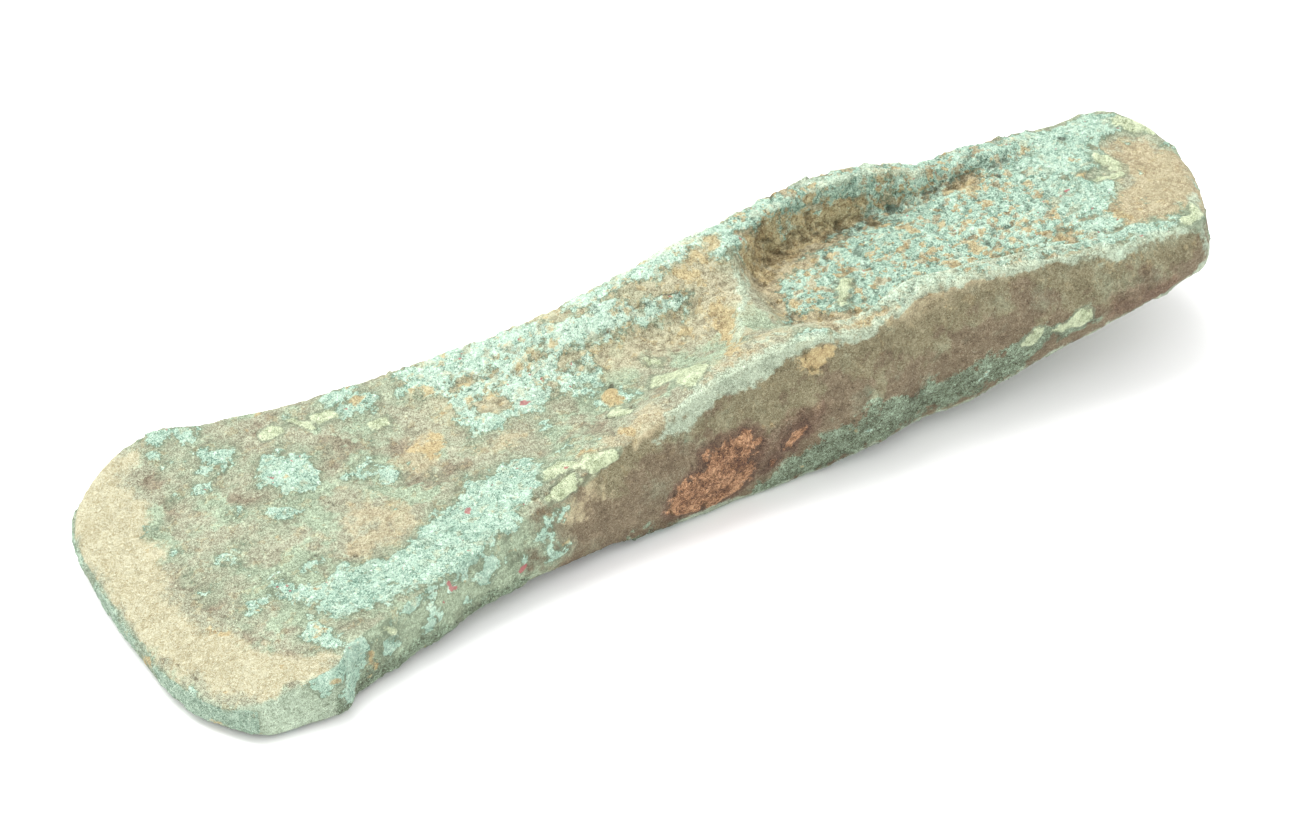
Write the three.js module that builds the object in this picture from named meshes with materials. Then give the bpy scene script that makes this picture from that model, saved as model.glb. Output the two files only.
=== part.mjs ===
// A bronze axe head of the palstave kind, lying on one face as found: one solid casting with a
// flared blade, side flanges, a stop on each face, and a web behind it that a split haft grips.
// Millimetres. X runs from the cutting edge to the butt, Y across the blade, Z up.
// The far side is +Y and the near side is -Y.
import * as THREE from "three";

// Lengths along the axe.
const bladeLength = 88; // cutting edge to the stop
const haftLength = 63; // stop to the butt
const cornerLength = 17.5; // cutting edge to the back of the blade's corners
const cornerStep = 2.4; // the short step that ends a corner
const neckLength = 31; // cutting edge to where the flare has died out
const bodyLength = 50; // cutting edge to the middle of the blade
const bevelLength = 27; // cutting edge to the blade's full thickness
const flangeLead = 49; // how far in front of the stop the flanges start to rise
const firstPeakLead = 2.5; // the flanges' highest point, in front of the stop
const dipSetback = 8.5; // the low place between the flanges' two peaks, behind the stop
const secondPeakSetback = 18.5; // the flanges' second peak
const secondLobeSetback = 22; // the second lobe's widest point
const lobeEndSetback = 31; // where the second lobe has died out
const flangeRunOut = 46; // where the flanges have sunk into the web

// Half-widths over the crest of each side's flange, and how its two ends are rounded in plan.
const sides = {
  far: {
    sign: 1,
    tip: 25,
    corner: 25.3,
    step: 23.4,
    neck: 20.4,
    body: 16.5,
    waist: 12.4,
    firstLobe: 15.2,
    notch: 14.6,
    secondLobe: 14.4,
    haft: 13.2,
    butt: 13.4,
    dipThickness: 20.2, // over the flanges' low place between their two peaks
    waistLead: 19, // start of the waist, in front of the stop
    lobeLead: 6, // start of the first lobe, in front of the stop
    lobeSetback: 13, // its widest point, behind the stop
    notchSetback: 18, // the narrow place between the two lobes
    bow: 11.3, // how far the corner of the cutting edge falls back
    bowPower: 5,
    buttDrop: 3, // how far the butt's corner falls short of its middle
  },
  near: {
    sign: -1,
    tip: 24.2,
    corner: 25.1,
    step: 23,
    neck: 19.8,
    body: 15.5,
    waist: 12.5,
    firstLobe: 13.6,
    notch: 12.1,
    secondLobe: 12.6,
    haft: 13.1,
    butt: 14.2,
    dipThickness: 18.6,
    waistLead: 5,
    lobeLead: 1,
    lobeSetback: 8,
    notchSetback: 16,
    bow: 7.2,
    bowPower: 4,
    buttDrop: 5.4,
  },
};
const bowFade = 34; // length over which the cutting edge's curve fades out of the sections
const buttPeak = 0.3; // share of the half-width where the butt stands out most
const buttCorner = 4.5; // radius of the butt's corners in plan
const edgeRound = 1.2; // roundness of the cutting edge, fore and aft
const buttRound = 2.6; // roundness of the butt, fore and aft
const tipThickness = 2.4; // the narrow band left between the two rounded faces at either end

// Thicknesses over both faces.
const edgeThickness = 4.8; // the blunt, corroded cutting edge
const bladeThickness = 8;
const bodyThickness = 10.4; // over the flanges at the middle of the blade
const firstPeakThickness = 21;
const secondPeakThickness = 20.2;
const lobeEndThickness = 15.9;
const runOutThickness = 10;
const buttThickness = 7;
const webThickness = 9;

// The flanges in section.
const flangeWidth = 2.4; // a flange's crest
const crestRound = 0.3; // how far a crest falls away at its outer edge
const seatWallRun = 1.6; // width that the flanges' steep inner walls take up
const dishRun = 8; // width of the flanges' gentle inner slopes in front of the stop
const sideBulge = 2; // how far the sides stand out past the crests, half-way down
const mouldShift = 0.8; // how far the lower half of the mould sat towards the near side

// The stop on each face, and the low ridge in front of the upper one.
const stopHeight = 2.3; // above the web
const stopRun = 3.2; // length of the stop's sloping face
const stopLand = 3; // flat top in front of the slope
const stopFlatHalf = 4; // the part of the stop that runs straight across
const stopBow = 4.2; // how far its ends curve back along the flanges
const ridgeHeight = 0.9;
const ridgeHalf = 1.2;
const ridgeLead = 2.4; // the ridge's middle, in front of the stop
const ridgeSkew = 0.42; // the ridge runs askew by this much for each millimetre across

// The haft seats: a true plane on each face of the web, behind the stop.
const seatSetback = 12; // stop to the plane's near end
const seatLength = 22;
const seatHalf = 7;

// Chips and hollows in the faces: distance from the cutting edge, distance across, then sizes.
const chips = [
  { face: 1, along: 4.5, across: -21, long: 3.2, wide: 2.6, deep: 0.7 },
  { face: 1, along: 97.5, across: -13.6, long: 4, wide: 2.2, deep: 1.1 },
  { face: 1, along: 120, across: 12.6, long: 4.5, wide: 2, deep: 1.2 },
  { face: 1, along: 77, across: 1, long: 6, wide: 6, deep: 0.7 },
  { face: 1, along: 108, across: 9.4, long: 11, wide: 1.9, deep: 0.8 },
  { face: -1, along: 30, across: 8, long: 9, wide: 6, deep: 0.4 },
  { face: -1, along: 74, across: -2, long: 8, wide: 6, deep: 0.6 },
];
const unevenness = 0.11; // the faces' gentle rise and fall
const outlineWander = 0.12; // the outline's

const axeLength = bladeLength + haftLength;
const seatFrom = bladeLength + seatSetback;
const seatTo = seatFrom + seatLength;

const clamp01 = (t) => Math.min(1, Math.max(0, t));
const smooth = (from, to, t) => {
  const k = clamp01((t - from) / (to - from));
  return k * k * (3 - 2 * k);
};
const bump = (t) => Math.exp(-t * t);

// A smooth curve through [distance, value] stations that never overshoots them.
function curveThrough(stations) {
  const chord = (i) =>
    (stations[i + 1][1] - stations[i][1]) / (stations[i + 1][0] - stations[i][0]);
  const slopes = stations.map((_, i) => {
    if (i === 0 || i === stations.length - 1) return 0;
    const [before, after] = [chord(i - 1), chord(i)];
    return before * after <= 0 ? 0 : (2 * before * after) / (before + after);
  });
  return (t) => {
    const last = stations.length - 2;
    let i = 0;
    while (i < last && t > stations[i + 1][0]) i += 1;
    const [[t0, v0], [t1, v1]] = [stations[i], stations[i + 1]];
    const span = t1 - t0;
    const k = clamp01((t - t0) / span);
    const k2 = k * k;
    const k3 = k2 * k;
    return (
      v0 * (2 * k3 - 3 * k2 + 1) +
      v1 * (3 * k2 - 2 * k3) +
      slopes[i] * span * (k3 - 2 * k2 + k) +
      slopes[i + 1] * span * (k3 - k2)
    );
  };
}

// Height of the face between the flanges, along the middle of the axe.
const webHeight = webThickness / 2;
const landHeight = webHeight + stopHeight;
const floorHeight = curveThrough([
  [0, edgeThickness / 2],
  [bevelLength, bladeThickness / 2],
  [bladeLength - flangeLead, bladeThickness / 2],
  [bladeLength - stopLand - 14, landHeight - 1.7],
  [bladeLength - stopLand, landHeight],
  [bladeLength, landHeight],
  [bladeLength + stopRun, webHeight],
  [bladeLength + flangeRunOut, webHeight],
  [axeLength - buttRound, buttThickness / 2],
  [axeLength, buttThickness / 2],
]);

// The height of each side's crest above the middle plane, and half the width over it before the
// butt's corner is rounded off.
for (const side of Object.values(sides)) {
  side.crestCurve = curveThrough([
    [0, edgeThickness / 2],
    [bevelLength, bladeThickness / 2],
    [bladeLength - flangeLead, bladeThickness / 2],
    [bodyLength, bodyThickness / 2],
    [bladeLength - firstPeakLead, firstPeakThickness / 2],
    [bladeLength + dipSetback, side.dipThickness / 2],
    [bladeLength + secondPeakSetback, secondPeakThickness / 2],
    [bladeLength + lobeEndSetback, lobeEndThickness / 2],
    [bladeLength + flangeRunOut, runOutThickness / 2],
    [axeLength - buttRound, buttThickness / 2],
    [axeLength, buttThickness / 2],
  ]);
  side.widthCurve = curveThrough([
    [0, side.tip],
    [cornerLength, side.corner],
    [cornerLength + cornerStep, side.step],
    [neckLength, side.neck],
    [bodyLength, side.body],
    [bladeLength - side.waistLead, side.waist],
    [bladeLength - side.lobeLead, side.waist],
    [bladeLength + side.lobeSetback, side.firstLobe],
    [bladeLength + side.notchSetback, side.notch],
    [bladeLength + secondLobeSetback, side.secondLobe],
    [bladeLength + lobeEndSetback, side.haft],
    [bladeLength + flangeRunOut, side.butt],
    [axeLength, side.butt],
  ]);
}

function halfWidth(along, side) {
  const cornerFrom = axeLength - side.buttDrop - buttCorner;
  const intoCorner = clamp01((along - cornerFrom) / buttCorner);
  const cornerInset = (buttCorner / 2) * (1 - Math.sqrt(1 - 0.97 * intoCorner ** 2));
  const wander =
    Math.sin(along * 0.31 + side.sign) +
    0.7 * Math.sin(along * 0.67 + 2 * side.sign) +
    0.5 * Math.sin(along * 1.13 + 4 * side.sign);
  return side.widthCurve(along) - cornerInset + outlineWander * wander;
}

// How much the sides bulge past the crests, half-way down.
const bulgeAlong = curveThrough([
  [0, sideBulge * 0.1],
  [bladeLength - flangeLead, sideBulge * 0.35],
  [bladeLength - firstPeakLead, sideBulge],
  [bladeLength + secondPeakSetback, sideBulge],
  [bladeLength + flangeRunOut, sideBulge * 0.7],
  [axeLength, sideBulge * 0.3],
]);

const sideOf = (across) => (across >= 0 ? sides.far : sides.near);

// Where a point of the section lies along the axe: the sections bow to follow the cutting edge
// at one end and the butt's curved, slanting end at the other.
function alongOf(station, across) {
  const side = sideOf(across);
  const bow =
    side.bow * Math.abs(across) ** side.bowPower * (1 - smooth(0, bowFade, station));
  const fromPeak = (across - buttPeak) / (side.sign - buttPeak);
  const drop =
    side.buttDrop * fromPeak ** 2 * smooth(axeLength - haftLength * 0.5, axeLength, station);
  return station + bow - (across > 0 && across < buttPeak ? drop * 0.2 : drop);
}

// Height of a face above the middle plane; face is 1 for the upper one and -1 for the lower.
function faceHeight(along, y, half, face) {
  const inset = half - Math.abs(y);
  const bowed = clamp01((Math.abs(y) - stopFlatHalf) / (seatHalf + 2 - stopFlatHalf));
  const behind = along - stopBow * bowed ** 2;
  const wallRun =
    dishRun +
    (seatWallRun - dishRun) * smooth(bladeLength - stopLand, bladeLength + stopRun, behind);
  const floor = floorHeight(behind);
  const wall = smooth(flangeWidth + wallRun, flangeWidth, inset);
  let height = floor + (sideOf(y).crestCurve(along) - floor) * wall;
  height -= crestRound * (1 - clamp01(inset / flangeWidth)) ** 2;
  const onSeat = along > seatFrom - 1 && along < seatTo + 1 && Math.abs(y) < seatHalf + 1;
  if (face > 0) {
    const ridgeAt = bladeLength - ridgeLead + ridgeSkew * y;
    height += ridgeHeight * (1 - wall) * bump((along - ridgeAt) / ridgeHalf);
  }
  if (!onSeat) {
    const phase = face > 0 ? 0 : 2.4;
    const share = face > 0 ? 1 : 1 - wall; // the lower crests stay even, so the axe lies steady
    height +=
      unevenness *
      share *
      (Math.sin(along * 0.29 + y * 0.17 + phase) +
        Math.sin(along * 0.17 - y * 0.37 + 1.7 * phase) +
        0.6 * Math.sin(along * 0.61 + y * 0.53 + phase));
  }
  for (const chip of chips) {
    if (chip.face !== face || onSeat) continue;
    const away = Math.hypot((along - chip.along) / chip.long, (y - chip.across) / chip.wide);
    height -= chip.deep * bump(away);
  }
  return height;
}

// Share of the thickness that is left at a station, which rounds both ends off.
function endShare(station) {
  const round = (distance, length) => {
    const k = clamp01(distance / length);
    return Math.sqrt(1 - (1 - k) ** 2);
  };
  return round(station, edgeRound) * round(axeLength - station, buttRound);
}

// Shares of the half-width where the faces have their lines of points, closer over the flanges.
const innerShares = [0, 0.16, 0.31, 0.45, 0.57, 0.66, 0.73, 0.785, 0.825, 0.865, 0.91, 0.96, 1];
const faceShares = [...innerShares.slice(1).reverse().map((v) => -v), ...innerShares];
// Shares of a side's height, from its upper crest down to its lower one.
const sideShares = [0.14, 0.32, 0.5, 0.68, 0.86];

// One closed ring of points round the axe: over the upper face from the near side to the far
// one, down the far side, back under the lower face and up the near side.
function ringAt(station) {
  const ring = [];
  const share = endShare(station);
  const thin = (height) => Math.max(tipThickness / 2, height * share);
  const facePoint = (across, face) => {
    const side = sideOf(across);
    const along = alongOf(station, across);
    const half = halfWidth(alongOf(station, side.sign), side);
    const y = across * half;
    const height = face * thin(faceHeight(along, y, half, face));
    return [along, face > 0 ? y : y - mouldShift, height];
  };
  const sidePoints = (across) => {
    const [along, topY, top] = facePoint(across, 1);
    const [, bottomY, bottom] = facePoint(across, -1);
    const bulge = bulgeAlong(along) * (0.4 + 0.6 * share);
    return sideShares.map((down) => [
      along,
      topY + (bottomY - topY) * down + across * bulge * (1 - Math.abs(2 * down - 1) ** 1.6),
      top + (bottom - top) * down,
    ]);
  };
  for (const v of faceShares) ring.push(facePoint(v, 1));
  ring.push(...sidePoints(1));
  for (const v of [...faceShares].reverse()) ring.push(facePoint(v, -1));
  ring.push(...sidePoints(-1).reverse());
  return ring;
}

// Stations along the axe, closer at the rounded ends and over the stop.
function stationList() {
  const zones = [
    [0, edgeRound, 4],
    [edgeRound, cornerLength, 10],
    [cornerLength, neckLength, 8],
    [neckLength, bladeLength - 12, 15],
    [bladeLength - 12, bladeLength, 9],
    [bladeLength, bladeLength + stopRun, 3],
    [bladeLength + stopRun, seatFrom, 7],
    [seatFrom, seatTo, 9],
    [seatTo, axeLength - 2 * buttCorner, 6],
    [axeLength - 2 * buttCorner, axeLength - buttRound, 4],
    [axeLength - buttRound, axeLength, 4],
  ];
  const list = [0];
  for (const [from, to, count] of zones)
    for (let i = 1; i <= count; i += 1) list.push(from + ((to - from) * i) / count);
  return list;
}

// The whole casting: rings joined by quads, and each end closed between its two faces.
function castingGeometry() {
  const rings = stationList().map(ringAt);
  const around = rings[0].length;
  const columns = faceShares.length;
  const indices = [];
  const triangle = (a, b, c) => indices.push(a, b, c);
  const quad = (a, b, c, d) => {
    triangle(a, b, c);
    triangle(a, c, d);
  };
  for (let r = 0; r + 1 < rings.length; r += 1)
    for (let j = 0; j < around; j += 1) {
      const next = (j + 1) % around;
      quad(r * around + j, (r + 1) * around + j, (r + 1) * around + next, r * around + next);
    }
  const farSide = columns;
  const lower = columns + sideShares.length;
  const nearSide = lower + columns;
  const closeEnd = (first, outward) => {
    const cap = (a, b, c) => {
      if (outward < 0) triangle(first + a, first + b, first + c);
      else triangle(first + c, first + b, first + a);
    };
    const under = (column) => lower + columns - 1 - column;
    for (let j = 0; j + 1 < columns; j += 1) {
      cap(j, j + 1, under(j + 1));
      cap(j, under(j + 1), under(j));
    }
    for (let k = 0; k < sideShares.length; k += 1) {
      cap(under(columns - 1), k === 0 ? columns - 1 : farSide + k - 1, farSide + k);
      cap(0, k === 0 ? under(0) : nearSide + k - 1, nearSide + k);
    }
  };
  closeEnd(0, -1);
  closeEnd((rings.length - 1) * around, 1);
  const geometry = new THREE.BufferGeometry();
  geometry.setAttribute("position", new THREE.Float32BufferAttribute(rings.flat(2), 3));
  geometry.setIndex(indices);
  geometry.computeVertexNormals();
  return geometry;
}

// The tilt at which the blade's lower edge and the lower flanges both touch the ground.
function restingTilt(geometry) {
  const points = geometry.getAttribute("position");
  const lowestFoot = (tilt, isBlade) => {
    let lowest = Infinity;
    for (let i = 0; i < points.count; i += 1)
      if (points.getX(i) < bodyLength === isBlade) {
        const height = points.getX(i) * Math.sin(tilt) + points.getZ(i) * Math.cos(tilt);
        lowest = Math.min(lowest, height);
      }
    return lowest;
  };
  let [tooFlat, tooSteep] = [0, Math.PI / 8];
  for (let step = 0; step < 40; step += 1) {
    const tilt = (tooFlat + tooSteep) / 2;
    if (lowestFoot(tilt, true) > lowestFoot(tilt, false)) tooFlat = tilt;
    else tooSteep = tilt;
  }
  return tooFlat;
}

const bronze = new THREE.MeshStandardMaterial({
  name: "patinated_bronze",
  color: 0x9db49a,
  roughness: 0.85,
  metalness: 0.1,
});

const axe = new THREE.Mesh(castingGeometry(), bronze);
axe.name = "axe_head";
axe.rotation.y = -restingTilt(axe.geometry);
const box = new THREE.Box3().setFromObject(axe, true);
const centre = box.getCenter(new THREE.Vector3());
axe.position.set(-centre.x, -centre.y, -box.min.z);

const part = new THREE.Group();
part.name = "bronze_axe_head";
part.add(axe);

export default part;
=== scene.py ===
import math
import bpy
import bmesh
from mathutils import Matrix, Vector


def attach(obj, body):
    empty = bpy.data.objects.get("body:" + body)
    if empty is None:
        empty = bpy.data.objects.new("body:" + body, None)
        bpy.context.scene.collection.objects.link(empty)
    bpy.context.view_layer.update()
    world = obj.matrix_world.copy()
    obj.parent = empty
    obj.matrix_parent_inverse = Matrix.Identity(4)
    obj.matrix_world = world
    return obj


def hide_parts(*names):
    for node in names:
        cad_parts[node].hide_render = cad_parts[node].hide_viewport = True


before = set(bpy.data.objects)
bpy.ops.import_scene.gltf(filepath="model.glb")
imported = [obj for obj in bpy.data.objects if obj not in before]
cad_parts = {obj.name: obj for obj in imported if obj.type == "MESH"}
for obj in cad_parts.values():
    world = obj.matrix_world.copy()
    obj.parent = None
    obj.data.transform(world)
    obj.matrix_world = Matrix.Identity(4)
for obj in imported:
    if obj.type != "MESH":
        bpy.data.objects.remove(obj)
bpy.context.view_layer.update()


class Wire:  # one node output, so that a field is written as a sum
    def __init__(self, bench, socket):
        self.bench, self.socket = bench, socket

    def __add__(self, other): return self.bench.math("ADD", self, other)
    def __radd__(self, other): return self.bench.math("ADD", other, self)
    def __sub__(self, other): return self.bench.math("SUBTRACT", self, other)
    def __rsub__(self, other): return self.bench.math("SUBTRACT", other, self)
    def __mul__(self, other): return self.bench.math("MULTIPLY", self, other)
    def __rmul__(self, other): return self.bench.math("MULTIPLY", other, self)
    def __rtruediv__(self, other): return self.bench.math("DIVIDE", other, self)
    def __neg__(self): return self.bench.math("MULTIPLY", self, -1.0)


class Bench:  # a node tree, and the one method that adds nodes to it
    def __init__(self, tree):
        self.tree = tree

    def node(self, kind, settings=None, inputs=None, out=0):
        made = self.tree.nodes.new(kind)
        for name, value in (settings or {}).items():
            if name == "stops":
                self.setStops(made.color_ramp, value)
            else:
                setattr(made, name, value)
        for key, value in (inputs or {}).items():
            if isinstance(value, Wire):
                self.tree.links.new(value.socket, made.inputs[key])
            elif value is not None:
                made.inputs[key].default_value = value
        return Wire(self, made.outputs[out])

    def setStops(self, ramp, stops):
        while len(ramp.elements) < len(stops):
            ramp.elements.new(0.5)
        for element, (place, colour) in zip(ramp.elements, stops):
            element.position, element.color = place, colour

    def math(self, operation, a, b=0.0, clamp=False):
        return self.node("ShaderNodeMath", {"operation": operation, "use_clamp": clamp}, {0: a, 1: b})

    def most(self, a, b): return self.math("MAXIMUM", a, b)

    def rise(self, value, low, high):  # 0 below low, 1 above high, smooth between
        return self.node("ShaderNodeMapRange", {"interpolation_type": "SMOOTHSTEP"},
                         {0: value, 1: low, 2: high, 3: 0.0, 4: 1.0})

    def scaled(self, vector, factor):
        return self.node("ShaderNodeVectorMath", {"operation": "SCALE"}, {0: vector, "Scale": factor})

    def vector(self, operation, a, b, out=0):
        return self.node("ShaderNodeVectorMath", {"operation": operation}, {0: a, 1: b}, out)

    def parts(self, vector):
        split = self.tree.nodes.new("ShaderNodeSeparateXYZ")
        self.tree.links.new(vector.socket, split.inputs[0])
        return [Wire(self, output) for output in split.outputs]

    def joined(self, x, y, z=0.0):
        return self.node("ShaderNodeCombineXYZ", None, {0: x, 1: y, 2: z})

    def moved(self, place, shift):  # so that two patterns of one kind differ
        return self.vector("ADD", place, (shift * 17.0, shift * -7.0, shift * 11.0))

    def noise(self, place, size, shift, detail=2.0, roughness=0.5, out=0, twist=0.0):  # size in the units of place
        inputs = {"Vector": self.moved(place, shift), "Scale": 1.0 / size, "Detail": detail,
                  "Roughness": roughness, "Distortion": twist}
        return self.node("ShaderNodeTexNoise", None, inputs, out)

    def cells(self, place, size, shift, settings=None, out=0, extra=None):
        inputs = {"Vector": self.moved(place, shift), "Scale": 1.0 / size, **(extra or {})}
        return self.node("ShaderNodeTexVoronoi", settings, inputs, out)

    def blend(self, factor, a, b):  # colours
        return self.node("ShaderNodeMix", {"data_type": "RGBA"}, {0: factor, 6: a, 7: b}, 2)


studio = {
    "cameraPlace": (-0.21939, -0.39822, 0.36849), "cameraTurn": (51.4254, -28.3834), "lens": 130.85,
    "sensor": 36.0, "clip": (0.02, 30.0),
    "floorSide": 6.0, "floorColour": (0.93, 0.93, 0.93), "floorRoughness": 0.9,
    "keyPlace": (-0.22, 0.62, 1.2), "keySide": 1.1, "keyPower": 21.0,
    "fillPlace": (-0.75, -0.95, 0.75), "fillSide": 1.3, "fillPower": 3.0,
    "skyColour": (1.0, 1.0, 1.0), "skyStrength": 1.3,
}


def setStudio():
    made = bpy.data.cameras.new("photoCamera")
    made.lens, made.sensor_width = studio["lens"], studio["sensor"]
    made.clip_start, made.clip_end = studio["clip"]
    camera = bpy.data.objects.new("photoCamera", made)
    camera.location = studio["cameraPlace"]
    camera.rotation_euler = (math.radians(studio["cameraTurn"][0]), 0.0, math.radians(studio["cameraTurn"][1]))
    bpy.context.scene.collection.objects.link(camera)
    bpy.context.scene.camera = camera
    for name in ("key", "fill"):
        light = bpy.data.lights.new(name + "Light", "AREA")
        light.shape, light.size, light.energy = "SQUARE", studio[name + "Side"], studio[name + "Power"]
        lamp = bpy.data.objects.new(name + "Light", light)
        lamp.location = studio[name + "Place"]
        lamp.rotation_euler = (-Vector(studio[name + "Place"])).to_track_quat("-Z", "Y").to_euler()
        bpy.context.scene.collection.objects.link(lamp)
    world = bpy.data.worlds.new("softRoom")
    world.use_nodes = True
    world.node_tree.nodes["Background"].inputs[0].default_value = (*studio["skyColour"], 1.0)
    world.node_tree.nodes["Background"].inputs[1].default_value = studio["skyStrength"]
    bpy.context.scene.world = world
    bpy.context.scene.view_settings.view_transform = "Standard"
    half = studio["floorSide"] / 2
    mesh = bpy.data.meshes.new("paleFloor")
    mesh.from_pydata([(-half, -half, 0), (half, -half, 0), (half, half, 0), (-half, half, 0)], [], [(0, 1, 2, 3)])
    floor = bpy.data.objects.new("paleFloor", mesh)
    bpy.context.scene.collection.objects.link(floor)
    paint = bpy.data.materials.new("paleFloor")
    paint.use_nodes = True
    paint.node_tree.nodes["Principled BSDF"].inputs["Base Color"].default_value = (*studio["floorColour"], 1.0)
    paint.node_tree.nodes["Principled BSDF"].inputs["Roughness"].default_value = studio["floorRoughness"]
    mesh.materials.append(paint)
    print("studio set")


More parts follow.
